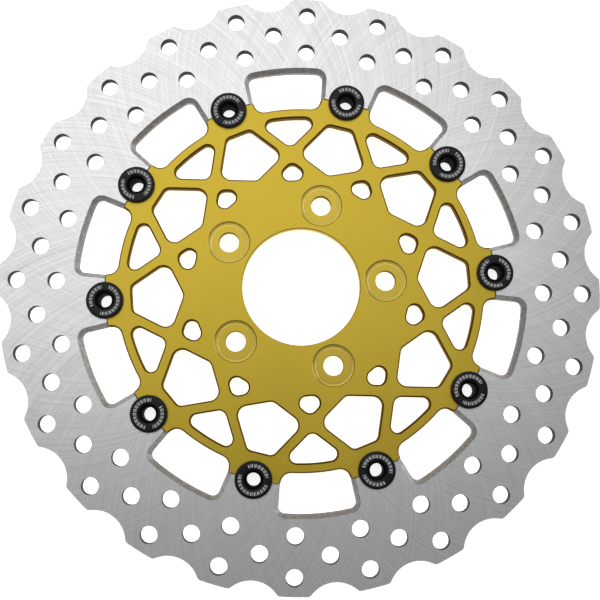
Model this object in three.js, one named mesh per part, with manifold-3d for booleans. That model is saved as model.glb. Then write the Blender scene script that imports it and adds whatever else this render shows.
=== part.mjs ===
// Floating motorcycle brake disc, 292 mm, lying face up with its axis on +Z.
//
// A lobed, drilled friction ring floats on a spoked carrier. Ten hollow drive buttons sit in
// half-round seats cut in both, each held at the back by a wave washer, a flat washer and a
// snap ring. z = 0 is the plane of the buttons' tail ends, on which the disc lies; +X runs
// through button 1 and one of the five bolt holes. Millimetres and degrees.

import * as THREE from 'three';
import Module from 'manifold-3d';
import { mergeVertices } from 'three/addons/utils/BufferGeometryUtils.js';

// ---- driving dimensions ------------------------------------------------------------------

const GAP = 0.3;                    // clearance between pieces that touch in use

// heights, from the table up; ring and carrier are cut from equally thick plate and lie flush
const BACK = 4.65;
const FRONT = BACK + 5;

// drive buttons and the seats that they turn in
const BUTTON_COUNT = 10;
const BUTTON_PITCH = 360 / BUTTON_COUNT;
const BUTTON_CIRCLE = 94.8;         // radius of the circle of buttons
const BARREL_RADIUS = 6;
const SEAT_RADIUS = BARREL_RADIUS + GAP;
const HEAD_RADIUS = 8.9;
const HEAD_TOP = FRONT + GAP + 1.7;
const HEAD_BEVEL = 0.6;
const BUTTON_BORE = 3.3;
const BUTTON_MOUTH = 4.6;           // wide end of the countersunk bore
const GROOVE_RADIUS = 5.2;
const GROOVE_LOW = 0.7;
const GROOVE_HIGH = 2.1;
const TAIL_BEVEL = 0.35;

// retaining parts behind the disc
const SNAP_RING_LOW = 1;
const SNAP_RING_HIGH = 1.8;
const SNAP_RING_INNER = GROOVE_RADIUS + GAP;
const SNAP_RING_OUTER = 7.3;
const SNAP_RING_EAR = 8.4;
const SNAP_RING_OPENING = 32;       // half the angle left open
const SNAP_RING_EAR_ANGLE = 24;
const WASHER_INNER = SEAT_RADIUS;
const WASHER_OUTER = 8.4;
const WASHER_LOW = 2.1;
const WASHER_HIGH = 2.9;
const WAVE_LOW = 3.55;              // underside of the wave washer midway up its waves
const WAVE_HIGH = 3.95;
const WAVE_COUNT = 3;
const WAVE_HEIGHT = 0.3;            // from the middle of a wave to its crest

// friction ring
const RING_OUTER = 146.05;
const LOBE_COUNT = 24;
const LOBE_PITCH = 360 / LOBE_COUNT;
const LOBE_PHASE = -5.54;           // first lobe, measured from button 1
const SCALLOP_RADIUS = 15;
const SCALLOP_CIRCLE = 155.2;       // radius of the circle of scallop centres
const LOBE_FILLET = 2.5;
const TAB_END = BUTTON_CIRCLE + GAP / 2;
const HOLE_RADIUS = 4.15;
const HOLE_ROWS = [                 // radius of each row, and its shift from the lobes in pitches
  { radius: 137.4, shift: 0 },
  { radius: 127.85, shift: 0.5 },
  { radius: 118.3, shift: 0 },
];

// slots between the ring's tabs
const SLOT_ARC = 108.25;
const TAB_HALF_WIDTH = 12.9;        // at the button circle
const TAB_FLARE = 9.9;              // a tab's side against the tab's centre line
const SLOT_FILLET = 3.2;
const SLOT_CHAMFER = 2.1;

// carrier
const BORE_RADIUS = 28.575;         // for a 2.25 in hub spigot
const BOLT_COUNT = 5;
const BOLT_CIRCLE = 41.275;         // 3.25 in bolt circle
const BOLT_HOLE_RADIUS = 4.9;
const BOLT_SEAT_RADIUS = 10.05;
const BOLT_SEAT_DEPTH = 0.6;
const LUG_END = BUTTON_CIRCLE - GAP / 2;
const LUG_HALF_WIDTH = 12.75;
const LUG_FILLET = 5;
const RIM_ARC = 89.2;

// spokes: straight bars whose two sides pass the disc's centre at these distances
const BAR_ANGLE = 59.3;             // from a button's radius to the bar's normal
const BAR_INNER = 47.1;
const BAR_OUTER = 52.3;
const BUTTON_WINDOW_TOP = 81.9;     // outer side of the five-sided windows
const BUTTON_WINDOW_FILLETS = [3.3, 4.6, 4, 4.6, 3.3];
const RIM_WINDOW_ARC = 84.6;        // outer side of the three-sided windows
const RIM_WINDOW_FILLETS = [3.2, 3.8, 3.2];
const HUB_WINDOW_ARC = 53;          // inner side of the small windows
const HUB_WINDOW_BAR = 46.7;
const HUB_WINDOW_FILLET = 3.4;

// finishes
const STEEL = { color: 0xb9b8b4, roughness: 0.38, metalness: 1 };
const GOLD_ANODISED = { color: 0xc0a034, roughness: 0.42, metalness: 1 };
const BLACK_ANODISED = { color: 0x17171a, roughness: 0.45, metalness: 0.6 };
const SPRING_STEEL = { color: 0x6f6e6c, roughness: 0.35, metalness: 1 };

// ---- outlines ------------------------------------------------------------------------------

const rad = THREE.MathUtils.degToRad;
const deg = THREE.MathUtils.radToDeg;
const CENTRE = new THREE.Vector2(0, 0);

function polar(radius, angle) {
  return new THREE.Vector2(radius * Math.cos(rad(angle)), radius * Math.sin(rad(angle)));
}

// Points along an arc, both ends included.
function arc(middle, radius, from, to, steps) {
  const points = [];
  for (let i = 0; i <= steps; i += 1) {
    points.push(polar(radius, from + ((to - from) * i) / steps).add(middle));
  }
  return points;
}

function circle(middle, radius, steps) {
  return arc(middle, radius, 0, 360, steps).slice(1);
}

function rotated(points, angle) {
  return points.map((p) => p.clone().rotateAround(CENTRE, rad(angle)));
}

// An opening's sides run anticlockwise. A straight side has the angle of its outward normal and
// its distance from the disc's centre along it; a round one has a radius about that centre, and
// lies at the outer or the inner end of the opening.
function straight(normal, distance) {
  return { normal, distance };
}

function round(radius, outer) {
  return { radius, outer };
}

// Centre of the fillet where side a runs into side b.
function filletCentre(a, b, fillet) {
  if (a.radius === undefined && b.radius === undefined) {
    const na = polar(1, a.normal);
    const nb = polar(1, b.normal);
    const da = a.distance - fillet;
    const db = b.distance - fillet;
    const det = na.cross(nb);
    return new THREE.Vector2((da * nb.y - db * na.y) / det, (na.x * db - nb.x * da) / det);
  }
  const line = a.radius === undefined ? a : b;
  const ring = a.radius === undefined ? b : a;
  const reach = ring.radius + (ring.outer ? -fillet : fillet);
  const distance = line.distance - fillet;
  const along = Math.sqrt(reach ** 2 - distance ** 2);
  const forwards = (line === a) === ring.outer ? 1 : -1;
  return polar(distance, line.normal).add(polar(forwards * along, line.normal + 90));
}

// Direction from a fillet's centre to the point where it meets a side.
function contactAngle(edge, middle) {
  if (edge.radius === undefined) {
    return edge.normal;
  }
  return deg(middle.angle()) + (edge.outer ? 0 : 180);
}

// Outline of an opening; fillets[i] rounds the corner that follows sides[i].
function opening(sides, fillets) {
  const points = [];
  sides.forEach((edge, i) => {
    const next = sides[(i + 1) % sides.length];
    const middle = filletCentre(edge, next, fillets[i]);
    const from = contactAngle(edge, middle);
    const turn = THREE.MathUtils.euclideanModulo(contactAngle(next, middle) - from, 360);
    const steps = fillets[i] > 0 ? Math.ceil(turn / 36) : 0;
    if (next.radius === undefined || fillets[i] === 0) {
      points.push(...cornerPoints(middle, fillets[i], from, turn, steps));
      return;
    }
    const beyond = sides[(i + 2) % sides.length];
    const following = filletCentre(next, beyond, fillets[(i + 1) % sides.length]);
    const start = deg(middle.angle());
    const sweep = wrapped(deg(following.angle()) - start);
    points.push(...cornerPoints(middle, fillets[i], from, turn, steps));
    points.push(...arc(CENTRE, next.radius, start, start + sweep, 4).slice(1, -1));
  });
  return points;
}

function cornerPoints(middle, fillet, from, turn, steps) {
  return steps === 0 ? [middle] : arc(middle, fillet, from, from + turn, steps);
}

function wrapped(angle) {
  return THREE.MathUtils.euclideanModulo(angle + 180, 360) - 180;
}

// ---- solids --------------------------------------------------------------------------------

const wasm = await Module();
wasm.setup();

function solid(geometry) {
  geometry.deleteAttribute('normal');
  geometry.deleteAttribute('uv');
  const merged = mergeVertices(geometry, 1e-4);
  return new wasm.Manifold(new wasm.Mesh({
    numProp: 3,
    vertProperties: Float32Array.from(merged.attributes.position.array),
    triVerts: Uint32Array.from(merged.index.array),
  }));
}

// A flat plate of one outline, with openings through it, between two heights.
function plate(outline, openings, low, high) {
  const shape = new THREE.Shape(outline);
  shape.holes = openings.map((points) => new THREE.Path(points));
  const geometry = new THREE.ExtrudeGeometry(shape, { depth: high - low, bevelEnabled: false });
  return solid(geometry.translate(0, 0, low));
}

// A piece turned about Z, from a closed profile of [radius, height] pairs.
function turned(profile, segments) {
  const points = [...profile, profile[0]].map(([r, z]) => new THREE.Vector2(r, z));
  return new THREE.LatheGeometry(points, segments).rotateX(Math.PI / 2);
}

function piece(name, finish, body) {
  const mesh = body.getMesh();
  const geometry = new THREE.BufferGeometry();
  geometry.setAttribute('position', new THREE.BufferAttribute(mesh.vertProperties, 3));
  geometry.setIndex(new THREE.BufferAttribute(mesh.triVerts, 1));
  geometry.computeVertexNormals();
  const result = new THREE.Mesh(geometry, new THREE.MeshStandardMaterial(finish));
  result.name = name;
  return result;
}

// The same outline cut once for every button, from a first angle on.
function cutAll(outline, first, low, high) {
  const cutters = [];
  for (let i = 0; i < BUTTON_COUNT; i += 1) {
    cutters.push(plate(rotated(outline, first + i * BUTTON_PITCH), [], low, high));
  }
  return cutters;
}

const MID_SLOT = BUTTON_PITCH / 2;
const buttonSeat = circle(polar(BUTTON_CIRCLE, 0), SEAT_RADIUS, 24);
const seatCutters = cutAll(buttonSeat, 0, 0, FRONT + GAP);

// ---- friction ring -------------------------------------------------------------------------

// One lobe about +X: half a scallop, a rounded shoulder, the crest, and the same mirrored.
function lobe() {
  const shoulderCircle = RING_OUTER - LOBE_FILLET;
  const touching = SCALLOP_RADIUS + LOBE_FILLET;
  const cosine = (SCALLOP_CIRCLE ** 2 + shoulderCircle ** 2 - touching ** 2)
    / (2 * SCALLOP_CIRCLE * shoulderCircle);
  const scallop = polar(SCALLOP_CIRCLE, LOBE_PITCH / 2);
  const outward = LOBE_PITCH / 2 - deg(Math.acos(cosine));
  const shoulder = polar(shoulderCircle, outward);
  const contact = deg(scallop.clone().sub(shoulder).angle());
  const upper = [
    polar(RING_OUTER, 0),
    ...arc(shoulder, LOBE_FILLET, outward, contact, 2),
    ...arc(scallop, SCALLOP_RADIUS, contact + 180, LOBE_PITCH / 2 + 180, 3).slice(1),
  ];
  const lower = upper.slice(1, -1).map((p) => new THREE.Vector2(p.x, -p.y));
  return [...lower.reverse(), ...upper];
}

// The space between two tabs, about the mid-slot radius, open past the tab ends.
function slot() {
  const tabSide = TAB_FLARE + 90;
  const corner = new THREE.Vector2(BUTTON_CIRCLE, TAB_HALF_WIDTH);
  const distance = -polar(1, tabSide).dot(corner);
  return opening([
    round(SLOT_ARC, true),
    straight(MID_SLOT - tabSide + 180, distance),
    straight(180, SEAT_RADIUS * 2 - BUTTON_CIRCLE),
    straight(tabSide - MID_SLOT + 180, distance),
  ], [SLOT_FILLET, 0, 0, SLOT_FILLET]);
}

// The wide chamfer round each slot: the slot's outline flares out up to the front face.
function slotMouths() {
  const flare = {
    depth: GAP,
    bevelThickness: SLOT_CHAMFER,
    bevelSize: SLOT_CHAMFER,
    bevelSegments: 1,
  };
  const mouths = [];
  for (let i = 0; i < BUTTON_COUNT; i += 1) {
    const outline = rotated(slot(), MID_SLOT + i * BUTTON_PITCH);
    const geometry = new THREE.ExtrudeGeometry(new THREE.Shape(outline), flare);
    mouths.push(solid(geometry.translate(0, 0, FRONT)));
  }
  return mouths;
}

function frictionRing() {
  const outline = [];
  for (let i = 0; i < LOBE_COUNT; i += 1) {
    outline.push(...rotated(lobe(), LOBE_PHASE + i * LOBE_PITCH));
  }
  const holes = [circle(CENTRE, TAB_END, 60)];
  for (const row of HOLE_ROWS) {
    const hole = circle(polar(row.radius, 0), HOLE_RADIUS, 10);
    for (let i = 0; i < LOBE_COUNT; i += 1) {
      holes.push(rotated(hole, LOBE_PHASE + (i + row.shift) * LOBE_PITCH));
    }
  }
  const slots = cutAll(slot(), MID_SLOT, BACK - GAP, FRONT + GAP);
  const blank = plate(outline, holes, BACK, FRONT);
  return blank.subtract(wasm.Manifold.union([...slots, ...slotMouths(), ...seatCutters]));
}

// ---- carrier -------------------------------------------------------------------------------

// Five-sided window between a button and the two bars that cross below it.
function buttonWindow() {
  const lower = BAR_ANGLE - BUTTON_PITCH + 180;
  return opening([
    straight(0, BUTTON_WINDOW_TOP),
    straight(BAR_ANGLE, BAR_INNER),
    straight(-lower, -BAR_OUTER),
    straight(lower, -BAR_OUTER),
    straight(-BAR_ANGLE, BAR_INNER),
  ], BUTTON_WINDOW_FILLETS);
}

// Three-sided window between two bars and the rim.
function rimWindow() {
  const bar = BAR_ANGLE - MID_SLOT;
  return opening([
    round(RIM_WINDOW_ARC, true),
    straight(180 - bar, -BAR_OUTER),
    straight(180 + bar, -BAR_OUTER),
  ], RIM_WINDOW_FILLETS);
}

// Small window between the hub and the crossing of two bars.
function hubWindow() {
  const bar = BAR_ANGLE - MID_SLOT;
  return opening([
    straight(bar, HUB_WINDOW_BAR),
    round(HUB_WINDOW_ARC, false),
    straight(-bar, HUB_WINDOW_BAR),
  ], [HUB_WINDOW_FILLET, HUB_WINDOW_FILLET, HUB_WINDOW_FILLET]);
}

// The space between two lugs, outside the rim.
function rimRecess() {
  return opening([
    straight(0, SLOT_ARC),
    straight(90 + MID_SLOT, -LUG_HALF_WIDTH),
    round(RIM_ARC, false),
    straight(270 - MID_SLOT, -LUG_HALF_WIDTH),
  ], [0, LUG_FILLET, LUG_FILLET, 0]);
}

function carrier() {
  const windows = [circle(CENTRE, BORE_RADIUS, 48)];
  for (let i = 0; i < BUTTON_COUNT; i += 1) {
    windows.push(rotated(buttonWindow(), i * BUTTON_PITCH));
    windows.push(rotated(rimWindow(), MID_SLOT + i * BUTTON_PITCH));
    windows.push(rotated(hubWindow(), MID_SLOT + i * BUTTON_PITCH));
  }
  const boltSeats = [];
  for (let i = 0; i < BOLT_COUNT; i += 1) {
    const at = polar(BOLT_CIRCLE, (i * 360) / BOLT_COUNT);
    windows.push(circle(at, BOLT_HOLE_RADIUS, 12));
    boltSeats.push(plate(circle(at, BOLT_SEAT_RADIUS, 20), [], FRONT - BOLT_SEAT_DEPTH, FRONT + GAP));
  }
  const blank = plate(circle(CENTRE, LUG_END, 60), windows, BACK, FRONT);
  return blank.subtract(wasm.Manifold.union([
    ...cutAll(rimRecess(), MID_SLOT, BACK - GAP, FRONT + GAP),
    ...seatCutters,
    ...boltSeats,
  ]));
}

// ---- buttons and their retaining parts -----------------------------------------------------

function button() {
  return solid(turned([
    [BUTTON_BORE, 0],
    [BARREL_RADIUS - TAIL_BEVEL, 0],
    [BARREL_RADIUS, TAIL_BEVEL],
    [BARREL_RADIUS, GROOVE_LOW],
    [GROOVE_RADIUS, GROOVE_LOW],
    [GROOVE_RADIUS, GROOVE_HIGH],
    [BARREL_RADIUS, GROOVE_HIGH],
    [BARREL_RADIUS, FRONT + GAP],
    [HEAD_RADIUS, FRONT + GAP],
    [HEAD_RADIUS, HEAD_TOP - HEAD_BEVEL],
    [HEAD_RADIUS - HEAD_BEVEL, HEAD_TOP],
    [BUTTON_MOUTH, HEAD_TOP],
    [BUTTON_BORE, HEAD_TOP - (BUTTON_MOUTH - BUTTON_BORE)],
  ], 12));
}

function washerGeometry(low, high) {
  return turned([
    [WASHER_INNER, low],
    [WASHER_OUTER, low],
    [WASHER_OUTER, high],
    [WASHER_INNER, high],
  ], 12);
}

function flatWasher() {
  return solid(washerGeometry(WASHER_LOW, WASHER_HIGH));
}

function waveWasher() {
  const geometry = washerGeometry(WAVE_LOW, WAVE_HIGH);
  const position = geometry.attributes.position;
  for (let i = 0; i < position.count; i += 1) {
    const around = Math.atan2(position.getY(i), position.getX(i));
    position.setZ(i, position.getZ(i) + WAVE_HEIGHT * Math.sin(WAVE_COUNT * around));
  }
  return solid(geometry);
}

// An open ring with two ears, which snaps into the button's groove.
function snapRing() {
  const end = 360 - SNAP_RING_OPENING;
  const ear = SNAP_RING_OPENING + SNAP_RING_EAR_ANGLE;
  const outline = [
    ...arc(CENTRE, SNAP_RING_INNER, end, SNAP_RING_OPENING, 9),
    ...arc(CENTRE, SNAP_RING_EAR, SNAP_RING_OPENING, ear, 2),
    ...arc(CENTRE, SNAP_RING_OUTER, ear, 360 - ear, 8),
    ...arc(CENTRE, SNAP_RING_EAR, 360 - ear, end, 2),
  ];
  return plate(outline, [], SNAP_RING_LOW, SNAP_RING_HIGH);
}

// ---- assembly ------------------------------------------------------------------------------

const disc = new THREE.Group();
disc.add(piece('friction_ring', STEEL, frictionRing()));
disc.add(piece('carrier', GOLD_ANODISED, carrier()));

const hardware = [
  { name: 'button', finish: BLACK_ANODISED, body: button() },
  { name: 'wave_washer', finish: SPRING_STEEL, body: waveWasher() },
  { name: 'flat_washer', finish: STEEL, body: flatWasher() },
  { name: 'snap_ring', finish: SPRING_STEEL, body: snapRing() },
];

for (let i = 0; i < BUTTON_COUNT; i += 1) {
  const number = String(i + 1).padStart(2, '0');
  const station = new THREE.Group();
  const at = polar(BUTTON_CIRCLE, i * BUTTON_PITCH);
  station.position.set(at.x, at.y, 0);
  station.rotation.z = rad(i * BUTTON_PITCH);
  for (const part of hardware) {
    station.add(piece(`${part.name}_${number}`, part.finish, part.body));
  }
  disc.add(station);
}

export default disc;
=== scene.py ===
from math import atan2, copysign, cos, radians, sin, tau

import bmesh
import bpy
from mathutils import Matrix, Vector
from mathutils.geometry import intersect_line_line, intersect_line_sphere, intersect_sphere_sphere_2d


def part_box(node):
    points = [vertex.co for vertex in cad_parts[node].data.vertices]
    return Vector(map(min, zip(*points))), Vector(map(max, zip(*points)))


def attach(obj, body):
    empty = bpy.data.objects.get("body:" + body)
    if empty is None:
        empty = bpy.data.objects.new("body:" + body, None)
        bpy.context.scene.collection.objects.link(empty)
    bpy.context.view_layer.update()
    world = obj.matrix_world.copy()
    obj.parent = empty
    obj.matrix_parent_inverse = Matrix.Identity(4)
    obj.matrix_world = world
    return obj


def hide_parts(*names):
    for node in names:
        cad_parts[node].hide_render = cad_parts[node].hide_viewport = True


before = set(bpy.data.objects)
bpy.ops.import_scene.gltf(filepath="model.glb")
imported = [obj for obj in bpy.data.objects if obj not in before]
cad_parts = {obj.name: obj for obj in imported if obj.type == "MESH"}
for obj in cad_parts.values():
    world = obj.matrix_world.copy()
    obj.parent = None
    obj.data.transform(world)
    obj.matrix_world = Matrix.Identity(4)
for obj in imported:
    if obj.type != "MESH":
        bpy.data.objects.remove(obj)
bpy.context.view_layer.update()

mm = 0.001

# ---- Studio --------------------------------------------------------------------------------
# A white table under a broad soft light over its far side, with a larger and weaker one above
# and a small one low at the right. The camera looks down from almost straight above the disc.

camera_data = bpy.data.cameras.new("camera")
camera_data.lens = 60
camera_data.sensor_width = 36
camera_data.shift_x = 0.001
camera_data.shift_y = -0.025
camera = bpy.data.objects.new("camera", camera_data)
camera.location = (-0.01697, -0.06305, 0.49029)
camera.rotation_euler = (radians(7.688), radians(-1.363), radians(-4.248))
bpy.context.scene.collection.objects.link(camera)
bpy.context.scene.camera = camera


def place(tree, kind, inputs=None, **settings):
    """Adds a shader node, makes its settings, and sets or links each of its inputs."""
    node = tree.nodes.new("ShaderNode" + kind)
    for name, value in settings.items():
        setattr(node, name, value)
    for key, value in (inputs or {}).items():
        if isinstance(value, bpy.types.NodeSocket):
            tree.links.new(value, node.inputs[key])
        else:
            node.inputs[key].default_value = value
    return node


def new_finish(name):
    """An empty material, and the shader tree that it is built in."""
    finish = bpy.data.materials.new(name)
    finish.use_nodes = True
    finish.node_tree.nodes.clear()
    return finish, finish.node_tree


def surface(tree, inputs):
    """Ends a finish in one Principled shader with these inputs."""
    shader = place(tree, "BsdfPrincipled", inputs)
    place(tree, "OutputMaterial", {"Surface": shader.outputs["BSDF"]})


def blended(tree, share, first, second):
    """A colour between two, by a share that changes over the surface."""
    mix = place(tree, "Mix", {0: share, 6: first, 7: second}, data_type="RGBA")
    return mix.outputs[2]


table_finish, tree = new_finish("table_white")
place_on_table = place(tree, "TexCoord").outputs["Object"]
mottle = place(tree, "TexNoise", {"Vector": place_on_table, "Scale": 3.0, "Detail": 2.0})
surface(tree, {
    "Base Color": blended(tree, mottle.outputs[0], (0.88, 0.88, 0.88, 1), (0.91, 0.91, 0.91, 1)),
    "Roughness": 0.8,
    "Emission Color": (1.0, 1.0, 1.0, 1),
    "Emission Strength": 0.84,
})
table_top = bmesh.new()
bmesh.ops.create_grid(table_top, x_segments=1, y_segments=1, size=2)
table_mesh = bpy.data.meshes.new("table")
table_top.to_mesh(table_mesh)
table_top.free()
table_mesh.materials.append(table_finish)
table = bpy.data.objects.new("table", table_mesh)
bpy.context.scene.collection.objects.link(table)


def soft_light(name, size, power, at, towards):
    """A square studio panel of this size that faces a point."""
    panel = bpy.data.lights.new(name, "AREA")
    panel.shape = "SQUARE"
    panel.size = size
    panel.energy = power
    lamp = bpy.data.objects.new(name, panel)
    lamp.location = at
    lamp.rotation_euler = (Vector(towards) - Vector(at)).to_track_quat("-Z", "Y").to_euler()
    bpy.context.scene.collection.objects.link(lamp)


soft_light("overhead_panel", 1.1, 3.9, (-0.16, 0.55, 0.95), (-0.16, 0.55, 0))
soft_light("fill_panel", 2.4, 2.3, (0, 0.15, 1.1), (0, 0.15, 0))
soft_light("side_panel", 0.9, 1.7, (1.2, 0.25, 0.4), (0, 0, 0))

world = bpy.data.worlds.new("studio")
world.use_nodes = True
world.node_tree.nodes["Background"].inputs["Color"].default_value = (0.9, 0.93, 1.0, 1)
world.node_tree.nodes["Background"].inputs["Strength"].default_value = 0.16
bpy.context.scene.world = world
bpy.context.scene.view_settings.view_transform = "Standard"

# ---- Friction ring -------------------------------------------------------------------------
# Stainless plate, cut to 24 lobes outside and to ten tabs inside, with a half-round seat in the
# end of each tab. The slots between the tabs have a wide chamfer in front. Seventy-two drilled
# holes lie in three rows, and both faces are ground with a cup wheel.


def unit(angle):
    """A direction in the disc's plane, by its angle in degrees."""
    return Vector((cos(radians(angle)), sin(radians(angle)), 0))


def straight(normal, distance, corner, front=0.0, back=0.0):
    """A straight side of an outline, by its outward normal and its distance from the axis.
    corner rounds its far end, less than 0 for a corner that turns right; front and back are
    the widths of its chamfers."""
    return {"normal": unit(normal), "distance": distance,
            "corner": corner, "front": front, "back": back}


def curved(radius, corner, front=0.0, back=0.0, outer=True, middle=Vector(), steps=8):
    """A round side. outer says that the outline lies inside its circle."""
    return {"middle": middle, "radius": radius, "outer": outer, "steps": steps,
            "corner": corner, "front": front, "back": back}


def around(sides, first, count):
    """The same sides repeated round the disc, from a first angle on."""
    repeated = []
    for i in range(count):
        turn = Matrix.Rotation(radians(first + 360 * i / count), 3, "Z")
        for side in sides:
            key = "normal" if "normal" in side else "middle"
            repeated.append(side | {key: turn @ side[key]})
    return repeated


def shifted(side, out):
    """A side moved outwards."""
    if "normal" in side:
        return side | {"distance": side["distance"] + out}
    return side | {"radius": side["radius"] + (out if side["outer"] else -out)}


def heading(side, at):
    """The way that an outline runs along a side."""
    out = side["normal"] if "normal" in side else at - side["middle"]
    out = out if "normal" in side or side["outer"] else -out
    return Vector((-out.y, out.x, 0)).normalized()


def crossing(a, b, bend):
    """Where side a runs into side b, bend being 1 for a turn to the left and -1 to the right."""
    if "normal" in a and "normal" in b:
        foot_a, foot_b = a["normal"] * a["distance"], b["normal"] * b["distance"]
        return intersect_line_line(
            foot_a, foot_a + heading(a, foot_a), foot_b, foot_b + heading(b, foot_b))[0]
    if "normal" in a or "normal" in b:
        line, arc = (a, b) if "normal" in a else (b, a)
        foot = line["normal"] * line["distance"]
        found = intersect_line_sphere(
            foot, foot + heading(line, foot), arc["middle"], arc["radius"], False)
    else:
        found = [at.to_3d() for at in intersect_sphere_sphere_2d(
            a["middle"].to_2d(), a["radius"], b["middle"].to_2d(), b["radius"])]
    return max(found, key=lambda at: bend * heading(a, at).cross(heading(b, at)).z)


def nearest(side, at):
    """The point of a side nearest to a fillet's centre."""
    if "normal" in side:
        return at + side["normal"] * (side["distance"] - at.dot(side["normal"]))
    return side["middle"] + (at - side["middle"]).normalized() * side["radius"]


def sweep(bm, point, middle, turn, steps):
    """Carries a point round a centre and leaves an arc of edges; gives the arc's last point."""
    swept = bmesh.ops.spin(bm, geom=[point], cent=middle, axis=(0, 0, 1), angle=turn, steps=steps)
    return swept["geom_last"][0]


def draw(bm, sides, moved, height):
    """Draws an outline as a loop of edges, each side moved out by its own amount."""
    here = [shifted(side, out) for side, out in zip(sides, moved)]
    corners = []
    for i, side in enumerate(here):
        bend = copysign(1, side["corner"])
        fillet = bend * max(bend * (side["corner"] + moved[i]), 0.1 * mm)
        after = here[(i + 1) % len(here)]
        middle = crossing(shifted(side, -fillet), shifted(after, -fillet), bend)
        corners.append((middle, nearest(side, middle), nearest(after, middle)))
    start = pen = bm.verts.new(corners[0][1] + Vector((0, 0, height)))
    for i, (middle, leaving, reaching) in enumerate(corners):
        a, b = leaving - middle, reaching - middle
        turn = atan2(a.cross(b).z, a.dot(b))
        pen = sweep(bm, pen, middle, turn, 2 if abs(sides[i]["corner"]) < 1 * mm else 8)
        side = here[(i + 1) % len(here)]
        goal = corners[(i + 1) % len(here)][1]
        if "normal" in side:
            last, pen = pen, bm.verts.new(goal + Vector((0, 0, height)))
            bm.edges.new((last, pen))
        else:
            a, b = reaching - side["middle"], goal - side["middle"]
            turn = atan2(a.cross(b).z, a.dot(b)) % tau - (0 if side["outer"] else tau)
            pen = sweep(bm, pen, side["middle"], turn, side["steps"])
    bmesh.ops.weld_verts(bm, targetmap={pen: start})


def cut_wall(bm, sides, low, high, out=1):
    """Raises an outline into a wall between the two faces of a plate, with its chamfers.
    out is 1 for an opening and -1 for the plate's own edge. Gives the wall's faces."""
    heights = {low, high}
    for side in sides:
        heights |= {low + side["back"], high - side["front"]}
    heights = sorted(heights)
    for height in heights:
        draw(bm, sides, [out * max(0, side["front"] - (high - height),
                                   side["back"] - (height - low)) for side in sides], height)
    loops = [edge for edge in bm.edges if edge.is_wire]
    wall = []
    for below, above in zip(heights, heights[1:]):
        pair = [edge for edge in loops
                if min(abs(edge.verts[0].co.z - below), abs(edge.verts[0].co.z - above)) < 1e-6]
        wall += bmesh.ops.bridge_loops(bm, edges=pair)["faces"]
    return wall


def finish_by_slope(faces, wall, chamfer):
    """Gives upright faces one finish and sloping faces another, by their numbers."""
    for face in faces:
        face.normal_update()
        face.material_index = wall if abs(face.normal.z) < 0.2 else chamfer


def drill(bm, middle, profile, segments):
    """Turns a hole's wall about its own axis, from (radius, height) pairs. Gives its faces."""
    points = [bm.verts.new(middle + Vector((radius, 0, height))) for radius, height in profile]
    lines = [bm.edges.new(pair) for pair in zip(points, points[1:])]
    old = set(bm.faces)
    bmesh.ops.spin(bm, geom=points + lines, cent=middle, axis=(0, 0, 1), angle=tau,
                   steps=segments, use_merge=True)
    return [face for face in bm.faces if face not in old]


def repeat_round(bm, faces, count):
    """Copies faces round the disc until there are count of them."""
    parts = set(faces)
    for face in faces:
        parts |= set(face.edges) | set(face.verts)
    bmesh.ops.spin(bm, geom=list(parts), cent=(0, 0, 0), axis=(0, 0, 1),
                   angle=tau * (count - 1) / count, steps=count - 1, use_duplicate=True)


def close_plate(bm, low, high):
    """Fills the two flat faces of a plate between all of its walls."""
    for height, up in ((low, -1), (high, 1)):
        rim = [edge for edge in bm.edges if edge.is_boundary
               and all(abs(corner.co.z - height) < 1e-6 for corner in edge.verts)]
        bmesh.ops.triangle_fill(bm, edges=rim, use_beauty=True, normal=(0, 0, up))


def finish_piece(bm, name, node, body, finishes, crease=32):
    """Makes a modelled piece an object that rides on its body in place of its CAD node."""
    bmesh.ops.recalc_face_normals(bm, faces=bm.faces)
    mesh = bpy.data.meshes.new(name)
    bm.to_mesh(mesh)
    bm.free()
    mesh.shade_smooth()
    mesh.set_sharp_from_angle(angle=radians(crease))
    for finish in finishes:
        mesh.materials.append(finish)
    piece = bpy.data.objects.new(name, mesh)
    bpy.context.scene.collection.objects.link(piece)
    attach(piece, body)
    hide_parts(node)


low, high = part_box("friction_ring")
ring_back, ring_front = low.z, high.z
burr = 0.25 * mm
button_circle = 94.8 * mm
seat_radius = 6.3 * mm
slot_chamfer = 2.1 * mm

ring = bmesh.new()

lobe_pitch = 15
lobe_phase = -5.54
lobe_edge = [
    curved(146.05 * mm, 2.5 * mm, burr, burr, steps=3),
    curved(15 * mm, 2.5 * mm, burr, burr, outer=False,
           middle=unit(lobe_pitch / 2) * 155.2 * mm, steps=12),
]
cut = cut_wall(ring, around(lobe_edge, lobe_phase, 24), ring_back, ring_front, out=-1)
finish_by_slope(cut, 1, 2)

flank = 80.1
flank_distance = unit(flank).dot(Vector((button_circle, -12.9 * mm, 0)))
slot_lips = {"front": slot_chamfer, "back": 0.3 * mm}
burrs = {"front": 0.12 * mm, "back": burr}
tab_edge = [
    curved(108.25 * mm, 3.2 * mm, **slot_lips, steps=12),
    straight(flank, flank_distance, -0.2 * mm, **slot_lips),
    curved(button_circle + 0.15 * mm, -0.15 * mm, **burrs, steps=3),
    curved(seat_radius, -0.15 * mm, **burrs, middle=unit(0) * button_circle, steps=28),
    curved(button_circle + 0.15 * mm, -0.2 * mm, **burrs, steps=3),
    straight(-flank, flank_distance, 3.2 * mm, **slot_lips),
]
finish_by_slope(cut_wall(ring, around(tab_edge, 0, 10), ring_back, ring_front), 1, 2)

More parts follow.
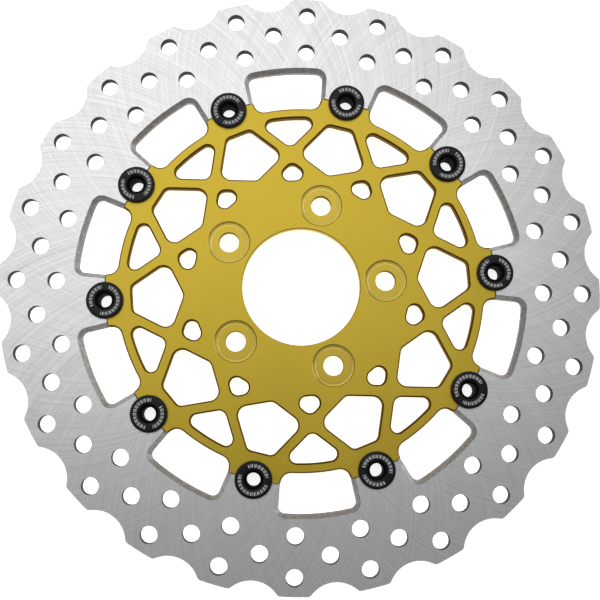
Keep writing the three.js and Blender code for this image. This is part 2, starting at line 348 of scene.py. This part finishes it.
hole, broken = 4.15 * mm, 0.08 * mm
hole_profile = [
    (hole + broken, ring_back), (hole, ring_back + broken),
    (hole, ring_front - broken), (hole + broken, ring_front),
]
for row, shift in ((137.4 * mm, 0), (127.85 * mm, 0.5), (118.3 * mm, 0)):
    middle = unit(lobe_phase + shift * lobe_pitch) * row
    drilled = drill(ring, middle, hole_profile, 36)
    for face in drilled:
        face.material_index = 3
    repeat_round(ring, drilled, 24)

close_plate(ring, ring_back, ring_front)

# The faces carry crossing arcs, because the cup wheel cuts with both edges as the ring turns
# under it: each arc is a piece of the wheel's own rim, which passes over the disc's axis.
ground_steel, tree = new_finish("ground_stainless")
wheel = 125 * mm
spot = place(tree, "TexCoord").outputs["Object"]
flat = place(tree, "VectorMath", {0: spot, 1: (1, 1, 0)}, operation="MULTIPLY").outputs[0]
reach = place(tree, "VectorMath", {0: flat}, operation="LENGTH").outputs["Value"]
axes = place(tree, "SeparateXYZ", {0: flat})
angle = place(tree, "Math", {0: axes.outputs["Y"], 1: axes.outputs["X"]}, operation="ARCTAN2")
share = place(tree, "Math", {0: reach, 1: 2 * wheel}, operation="DIVIDE")
lag = place(tree, "Math", {0: share.outputs[0]}, operation="ARCCOSINE")
marks = []
for operation, fineness in (("ADD", 640), ("SUBTRACT", 780)):
    turned = place(tree, "Math", {0: angle.outputs[0], 1: lag.outputs[0]}, operation=operation)
    circle_x = place(tree, "Math", {0: turned.outputs[0]}, operation="COSINE")
    circle_y = place(tree, "Math", {0: turned.outputs[0]}, operation="SINE")
    on_circle = place(tree, "CombineXYZ", {0: circle_x.outputs[0], 1: circle_y.outputs[0]})
    marks.append(place(tree, "TexNoise", {
        "Vector": on_circle.outputs[0], "Scale": fineness, "Detail": 1.0, "Roughness": 0.6,
    }, noise_dimensions="2D").outputs[0])
patches = place(tree, "TexNoise", {"Vector": spot, "Scale": 260.0, "Detail": 3.0}).outputs[0]
which = place(tree, "MapRange", {0: patches, 1: 0.35, 2: 0.65, 3: 0.15, 4: 0.85}).outputs[0]
scratch = place(tree, "Mix", {0: which, 2: marks[0], 3: marks[1]}).outputs[0]
scratched = place(tree, "MapRange", {0: scratch, 1: 0.36, 2: 0.64}).outputs[0]
relief = place(tree, "Bump", {"Strength": 0.1, "Distance": 0.02 * mm, "Height": scratched})
surface(tree, {
    "Base Color": blended(tree, scratched, (0.62, 0.615, 0.61, 1), (0.92, 0.92, 0.91, 1)),
    "Metallic": 1.0,
    "Roughness": place(tree, "MapRange", {0: scratched, 3: 0.42, 4: 0.34}).outputs[0],
    "Normal": relief.outputs[0],
})

# Cut edges are rougher than the faces, and darker: partly the cut, partly painted shade in the
# walls.
# The slots' chamfers are milled, and the drilled holes are painted almost black inside as painted
# shade.
cut_steel, tree = new_finish("cut_stainless")
spot = place(tree, "TexCoord").outputs["Object"]
drawn = place(tree, "Mapping", {0: spot, 3: (700, 700, 150)}).outputs[0]
stripes = place(tree, "TexNoise", {"Vector": drawn, "Scale": 1.0, "Detail": 2.0}).outputs[0]
surface(tree, {
    "Base Color": blended(tree, stripes, (0.20, 0.19, 0.18, 1), (0.32, 0.305, 0.29, 1)),
    "Metallic": 1.0,
    "Roughness": 0.5,
    "Normal": place(tree, "Bump", {
        "Strength": 0.4, "Distance": 0.04 * mm, "Height": stripes}).outputs[0],
})

milled_steel, tree = new_finish("milled_stainless")
spot = place(tree, "TexCoord").outputs["Object"]
chatter = place(tree, "TexNoise", {"Vector": spot, "Scale": 700.0, "Detail": 4.0}).outputs[0]
glints = place(tree, "MapRange", {0: chatter, 1: 0.4, 2: 0.7}).outputs[0]
surface(tree, {
    "Base Color": blended(tree, glints, (0.52, 0.51, 0.495, 1), (0.76, 0.75, 0.73, 1)),
    "Metallic": 1.0,
    "Roughness": 0.45,
    "Normal": place(tree, "Bump", {
        "Strength": 0.15, "Distance": 0.03 * mm, "Height": chatter}).outputs[0],
})

# Near-black hole walls: painted shade, far darker than drilled stainless is.
shaded_hole_steel, tree = new_finish("shaded_hole_stainless")
spot = place(tree, "TexCoord").outputs["Object"]
threads = place(tree, "Mapping", {0: spot, 3: (40, 40, 3000)}).outputs[0]
rings = place(tree, "TexNoise", {"Vector": threads, "Scale": 1.0, "Detail": 1.0}).outputs[0]
surface(tree, {
    "Base Color": blended(tree, rings, (0.02, 0.02, 0.022, 1), (0.06, 0.058, 0.055, 1)),
    "Specular IOR Level": 0.1,
    "Roughness": 0.6,
})

finish_piece(ring, "ring_plate", "friction_ring", "friction_ring",
             [ground_steel, cut_steel, milled_steel, shaded_hole_steel])

# ---- Carrier -------------------------------------------------------------------------------
# One milled aluminium plate, gold anodised: a hub with the bore and five counterbored bolt
# holes, bars that cross between hub and rim, and ten lugs with half-round seats. Every edge has
# a small milled chamfer.

low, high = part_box("carrier")
back, front = low.z, high.z
edge = {"front": 0.72 * mm, "back": 0.4 * mm}
joint = {"front": 0.15 * mm, "back": 0.25 * mm}

carrier = bmesh.new()

lug_edge = [
    curved(89.2 * mm, -5 * mm, **edge, steps=8),
    straight(-90, 12.75 * mm, 0.3 * mm, **edge),
    curved(button_circle - 0.15 * mm, 0.15 * mm, **joint, steps=3),
    curved(seat_radius, 0.15 * mm, **joint, outer=False, middle=unit(0) * button_circle, steps=28),
    curved(button_circle - 0.15 * mm, 0.3 * mm, **joint, steps=3),
    straight(90, 12.75 * mm, -5 * mm, **edge),
]
# Upright walls take finish 2, painted shade, and chamfers take finish 3, a painted dark reflection;
# so do the windows below.
finish_by_slope(cut_wall(carrier, around(lug_edge, 0, 10), back, front, out=-1), 2, 3)

# bars: both sides of each pass the disc's centre at these distances
bar = 59.3
bar_near, bar_far = 47.1 * mm, 52.3 * mm
mid = 18

button_window = [
    straight(0, 81.9 * mm, 3.3 * mm, **edge),
    straight(bar, bar_near, 4.6 * mm, **edge),
    straight(216 - bar, -bar_far, 4 * mm, **edge),
    straight(bar - 216, -bar_far, 4.6 * mm, **edge),
    straight(-bar, bar_near, 3.3 * mm, **edge),
]
rim_window = [
    curved(84.6 * mm, 3.2 * mm, **edge),
    straight(180 - bar + mid, -bar_far, 3.8 * mm, **edge),
    straight(180 + bar - mid, -bar_far, 3.2 * mm, **edge),
]
hub_window = [
    straight(bar - mid, 46.7 * mm, 3.4 * mm, **edge),
    curved(53 * mm, 3.4 * mm, **edge, outer=False),
    straight(mid - bar, 46.7 * mm, 3.4 * mm, **edge),
]
for window, first in ((button_window, 0), (rim_window, mid), (hub_window, mid)):
    cut = cut_wall(carrier, around(window, first, 1), back, front)
    finish_by_slope(cut, 2, 3)
    repeat_round(carrier, cut, 10)

bore = 28.575 * mm
cut = drill(carrier, Vector(), [
    (bore + 0.5 * mm, back), (bore, back + 0.5 * mm),
    (bore, front - 0.5 * mm), (bore + 0.5 * mm, front),
], 96)
for face in cut:
    face.material_index = 1

# counterbored bolt hole: hole, seat with the ring that the cutter's corner left, seat wall
bolt_hole, bolt_seat, seat_floor = 4.9 * mm, 10.05 * mm, front - 0.6 * mm
cutter_inner, cutter_outer = 8.3 * mm, 8.8 * mm
hole_wall = [
    (bolt_hole + 0.3 * mm, back), (bolt_hole, back + 0.3 * mm),
    (bolt_hole, seat_floor - 0.15 * mm), (bolt_hole + 0.15 * mm, seat_floor),
]
seat_wall = [
    (cutter_inner, seat_floor), (cutter_inner + 0.15 * mm, seat_floor - 0.12 * mm),
    (cutter_outer - 0.2 * mm, seat_floor - 0.12 * mm), (cutter_outer, seat_floor),
    (bolt_seat - 0.25 * mm, seat_floor),
    (bolt_seat - 0.07 * mm, seat_floor + 0.07 * mm), (bolt_seat, seat_floor + 0.25 * mm),
    (bolt_seat, front - 0.18 * mm), (bolt_seat + 0.3 * mm, front),
]
bolt_circle = 41.275 * mm
cut = drill(carrier, unit(0) * bolt_circle, hole_wall + seat_wall, 64)
# Hole and seat walls take finish 2, painted shade; the rim chamfer and the cutter's ring take finish
# 4, a painted highlight.
for face in cut:
    middle = face.calc_center_median()
    spread = (middle - unit(0) * bolt_circle).to_2d().length
    if middle.z < seat_floor - 0.2 * mm or bolt_seat - 0.1 * mm < spread < bolt_seat + 0.05 * mm:
        face.material_index = 2
    elif spread > bolt_seat or cutter_inner < spread < cutter_outer:
        face.material_index = 4
    else:
        face.material_index = 1
repeat_round(carrier, cut, 5)
close_plate(carrier, back, front)

# The skin that the anodised finishes share, and the plain steel of the washers and snap rings
# too: a fine grain, and slow changes of shade.
skin_group = bpy.data.node_groups.new("metal_skin", "ShaderNodeTree")
skin_group.interface.new_socket("Grain", in_out="INPUT", socket_type="NodeSocketFloat")
skin_group.interface.new_socket("Relief", in_out="INPUT", socket_type="NodeSocketFloat")
skin_group.interface.new_socket("Shade", in_out="OUTPUT", socket_type="NodeSocketFloat")
skin_group.interface.new_socket("Normal", in_out="OUTPUT", socket_type="NodeSocketVector")
taken = skin_group.nodes.new("NodeGroupInput")
given = skin_group.nodes.new("NodeGroupOutput")
spot = place(skin_group, "TexCoord").outputs["Object"]
fine = place(skin_group, "TexNoise", {
    "Vector": spot, "Scale": taken.outputs["Grain"], "Detail": 3.0, "Roughness": 0.6}).outputs[0]
slow = place(skin_group, "TexNoise", {"Vector": spot, "Scale": 25.0, "Detail": 2.0}).outputs[0]
shade = place(skin_group, "Mix", {0: 0.35, 2: slow, 3: fine}).outputs[0]
skin = place(skin_group, "Bump", {
    "Strength": taken.outputs["Relief"], "Distance": 0.02 * mm, "Height": fine}).outputs[0]
skin_group.links.new(shade, given.inputs["Shade"])
skin_group.links.new(skin, given.inputs["Normal"])


def metal_skin(tree, grain, relief):
    """The shared skin with a finish's own grain."""
    return place(tree, "Group", {"Grain": grain, "Relief": relief}, node_tree=skin_group).outputs


def gold_finish(name, dark, light, smooth, rough, metal=1.0):
    """Gold anodising between two colours and two roughnesses."""
    finish, tree = new_finish(name)
    skin = metal_skin(tree, 1800.0, 0.3)
    surface(tree, {
        "Base Color": blended(tree, skin["Shade"], dark, light),
        "Metallic": metal,
        "Specular IOR Level": 0.05,
        "Roughness": place(tree, "MapRange", {
            0: skin["Shade"], 3: smooth, 4: rough}).outputs[0],
        "Normal": skin["Normal"],
    })
    return finish


gold = gold_finish("gold_anodised", (0.53, 0.373, 0.032, 1), (0.762, 0.565, 0.070, 1), 0.36, 0.48)
turned_gold = gold_finish(
    "turned_gold", (0.49, 0.35, 0.035, 1), (0.72, 0.54, 0.08, 1), 0.34, 0.42)
# Pale, polished gold on the bolt seats' rim chamfer and cutter ring: its paler colour is a painted
# highlight.
seat_highlight_gold = gold_finish(
    "seat_highlight_gold", (0.80, 0.62, 0.16, 1), (1.0, 0.84, 0.36, 1), 0.16, 0.22)
# Dark brown and not metallic, for the upright walls of openings and bolt seats: painted shade over
# the gold anodising.
wall_shade_gold = gold_finish(
    "wall_shade_gold", (0.20, 0.105, 0.003, 1), (0.30, 0.165, 0.006, 1), 0.5, 0.6, metal=0.0)
# Dark brown on the chamfers: a painted dark reflection over the gold anodising.
edge_gold = gold_finish(
    "edge_gold", (0.19, 0.090, 0.002, 1), (0.28, 0.135, 0.004, 1), 0.4, 0.5)
finish_piece(carrier, "carrier_plate", "carrier", "carrier",
             [gold, turned_gold, wall_shade_gold, edge_gold, seat_highlight_gold], crease=25)

# ---- Drive buttons -------------------------------------------------------------------------
# Hollow aluminium bobbins, turned and hard anodised black. The head lies on ring and carrier
# with a thin gap, the barrel turns in the two half-round seats, and a groove near the tail
# takes the snap ring. Plain white index marks are printed round the head.


def black_finish(name, smooth, rough, shine):
    """Black hard anodising between two roughnesses."""
    finish, tree = new_finish(name)
    skin = metal_skin(tree, 2500.0, 0.25)
    surface(tree, {
        "Base Color": blended(
            tree, skin["Shade"], (0.004, 0.004, 0.005, 1), (0.012, 0.012, 0.014, 1)),
        "Specular IOR Level": shine,
        "Roughness": place(tree, "MapRange", {
            0: skin["Shade"], 3: smooth, 4: rough}).outputs[0],
        "Normal": skin["Normal"],
    })
    return finish


black = black_finish("black_anodised", 0.28, 0.42, 0.25)
black_bore = black_finish("black_bore", 0.6, 0.8, 0.04)

white_print, tree = new_finish("white_print")
spot = place(tree, "TexCoord").outputs["Object"]
worn = place(tree, "TexNoise", {"Vector": spot, "Scale": 2200.0, "Detail": 2.0}).outputs[0]
surface(tree, {
    "Base Color": blended(tree, worn, (0.60, 0.60, 0.59, 1), (0.92, 0.92, 0.90, 1)),
    "Roughness": 0.6,
})

barrel, head = 6 * mm, 8.9 * mm
button_steps = 144
head_under, head_top = ring_front + 0.3 * mm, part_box("button_01")[1].z
button_bore, mouth = 3.3 * mm, 4.6 * mm
groove = 5.2 * mm
mark_inner, mark_outer = 5.75 * mm, 7.35 * mm
profile = [
    (button_bore, 0.3 * mm), (button_bore + 0.3 * mm, 0), (barrel - 0.35 * mm, 0),
    (barrel, 0.35 * mm), (barrel, 0.7 * mm), (groove, 0.7 * mm), (groove, 2.1 * mm),
    (barrel, 2.1 * mm), (barrel, head_under), (head - 0.12 * mm, head_under),
    (head, head_under + 0.12 * mm), (head, head_top - 0.6 * mm),
    (head - 0.1 * mm, head_top - 0.3 * mm), (head - 0.3 * mm, head_top - 0.1 * mm),
    (head - 0.6 * mm, head_top), (mark_outer, head_top), (mark_inner, head_top),
    (mouth + 0.25 * mm, head_top), (mouth + 0.07 * mm, head_top - 0.07 * mm),
    (mouth, head_top - 0.25 * mm),
    (button_bore + 0.35 * mm, head_top - 1.35 * mm), (button_bore, head_top - 1.9 * mm),
]
drive_button = bmesh.new()
points = [drive_button.verts.new((radius, 0, height)) for radius, height in profile]
lines = [drive_button.edges.new((a, b)) for a, b in zip(points, points[1:] + points[:1])]
bmesh.ops.spin(drive_button, geom=points + lines, cent=(0, 0, 0), axis=(0, 0, 1), angle=tau,
               steps=button_steps, use_merge=True)

# index marks: two rows of bars round the head, broken at two places, each row a rhythm of
# wide and narrow bars
for face in drive_button.faces:
    middle = face.calc_center_median()
    if middle.to_2d().length < mouth - 0.1 * mm:
        face.material_index = 2
    if not (mark_inner < middle.to_2d().length < mark_outer and middle.z > head_top - 0.01 * mm):
        continue
    step = round((atan2(middle.y, middle.x) % tau) / tau * button_steps - 0.5)
    upper, lower = 6 <= step < 78, 90 <= step < 132
    if (upper or lower) and step % 6 in (0, 3, 4):
        face.material_index = 1
button_mesh = bpy.data.meshes.new("drive_button")
bmesh.ops.recalc_face_normals(drive_button, faces=drive_button.faces)
drive_button.to_mesh(button_mesh)
drive_button.free()


def at_each_button(mesh, name, node, finishes, turns=(0,) * 10, crease=32):
    """Sets one copy of a turned piece at every button, each turned by its own angle."""
    for i, turn in enumerate(turns):
        number = f"{i + 1:02d}"
        low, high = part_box(f"button_{number}")
        centre = Vector(((low.x + high.x) / 2, (low.y + high.y) / 2, 0))
        bm = bmesh.new()
        bm.from_mesh(mesh)
        bmesh.ops.rotate(bm, cent=(0, 0, 0), matrix=Matrix.Rotation(radians(turn), 3, "Z"),
                         verts=bm.verts)
        bmesh.ops.translate(bm, vec=centre, verts=bm.verts)
        finish_piece(bm, f"{name}_{number}", f"{node}_{number}", f"button_{number}",
                     finishes, crease)


# the buttons turn in their seats, so no two sets of marks point the same way
clocking = (100, 215, 150, 20, 290, 235, 60, 140, 330, 10)
at_each_button(button_mesh, "drive_button", "button",
               [black, white_print, black_bore], clocking)

# ---- Washers behind the disc ---------------------------------------------------------------
# A spring steel wave washer presses carrier and ring against the button's head, and a plain
# stainless washer spreads its load on the snap ring.


def steel_finish(name, dark, light, smooth, rough, grain):
    """Plain steel with a tumbled grain."""
    finish, tree = new_finish(name)
    skin = metal_skin(tree, grain, 0.4)
    surface(tree, {
        "Base Color": blended(tree, skin["Shade"], dark, light),
        "Metallic": 1.0,
        "Roughness": place(tree, "MapRange", {
            0: skin["Shade"], 3: smooth, 4: rough}).outputs[0],
        "Normal": skin["Normal"],
    })
    return finish


def washer(inner, outer, low, high, segments):
    """A flat ring with rounded edges."""
    soft = 0.1 * mm
    profile = [
        (inner, low + soft), (inner + soft, low), (outer - soft, low), (outer, low + soft),
        (outer, high - soft), (outer - soft, high), (inner + soft, high), (inner, high - soft),
    ]
    bm = bmesh.new()
    points = [bm.verts.new((radius, 0, height)) for radius, height in profile]
    lines = [bm.edges.new((a, b)) for a, b in zip(points, points[1:] + points[:1])]
    bmesh.ops.spin(bm, geom=points + lines, cent=(0, 0, 0), axis=(0, 0, 1), angle=tau,
                   steps=segments, use_merge=True)
    return bm


spring_steel = steel_finish(
    "spring_steel", (0.16, 0.155, 0.15, 1), (0.34, 0.33, 0.32, 1), 0.3, 0.45, 900.0)
washer_steel = steel_finish(
    "washer_steel", (0.48, 0.47, 0.46, 1), (0.70, 0.69, 0.68, 1), 0.3, 0.42, 1200.0)

washer_edge = 8.4 * mm
wave_height = 0.3 * mm
wave = washer(seat_radius, washer_edge, 3.55 * mm, 3.95 * mm, 96)
for corner in wave.verts:
    corner.co.z += wave_height * sin(3 * atan2(corner.co.y, corner.co.x))
wave_mesh = bpy.data.meshes.new("wave_washer")
wave.to_mesh(wave_mesh)
wave.free()
stations = [36 * i for i in range(10)]
at_each_button(wave_mesh, "wave_spring", "wave_washer", [spring_steel], stations)

flat_ring = washer(seat_radius, washer_edge, 2.1 * mm, 2.9 * mm, 64)
flat_mesh = bpy.data.meshes.new("flat_washer")
flat_ring.to_mesh(flat_mesh)
flat_ring.free()
at_each_button(flat_mesh, "plain_washer", "flat_washer", [washer_steel], stations)

# ---- Snap rings ----------------------------------------------------------------------------
# Stamped spring steel, sprung into the groove of each button and open on one side, with an eye
# in each ear for the pliers.

snap_low, snap_high = 1 * mm, 1.8 * mm
opening_half, ear_end = 32, 56
stamped = {"front": 0.08 * mm, "back": 0.08 * mm}
snap_outline = [
    straight(opening_half - 90, 0, 0.4 * mm, **stamped),
    curved(8.4 * mm, 0.5 * mm, **stamped, steps=6),
    straight(ear_end + 90, 0, -0.5 * mm, **stamped),
    curved(7.3 * mm, -0.5 * mm, **stamped, steps=60),
    straight(270 - ear_end, 0, 0.5 * mm, **stamped),
    curved(8.4 * mm, 0.4 * mm, **stamped, steps=6),
    straight(90 - opening_half, 0, 0.25 * mm, **stamped),
    curved(5.5 * mm, 0.25 * mm, **stamped, outer=False, steps=60),
]
snap_ring = bmesh.new()
cut_wall(snap_ring, around(snap_outline, 0, 1), snap_low, snap_high, out=-1)
for ear in (opening_half + 11.5, -opening_half - 11.5):
    drill(snap_ring, unit(ear) * 7 * mm, [(0.62 * mm, snap_low), (0.62 * mm, snap_high)], 20)
close_plate(snap_ring, snap_low, snap_high)
snap_mesh = bpy.data.meshes.new("snap_ring")
bmesh.ops.recalc_face_normals(snap_ring, faces=snap_ring.faces)
snap_ring.to_mesh(snap_mesh)
snap_ring.free()
at_each_button(snap_mesh, "retaining_ring", "snap_ring", [spring_steel], stations)
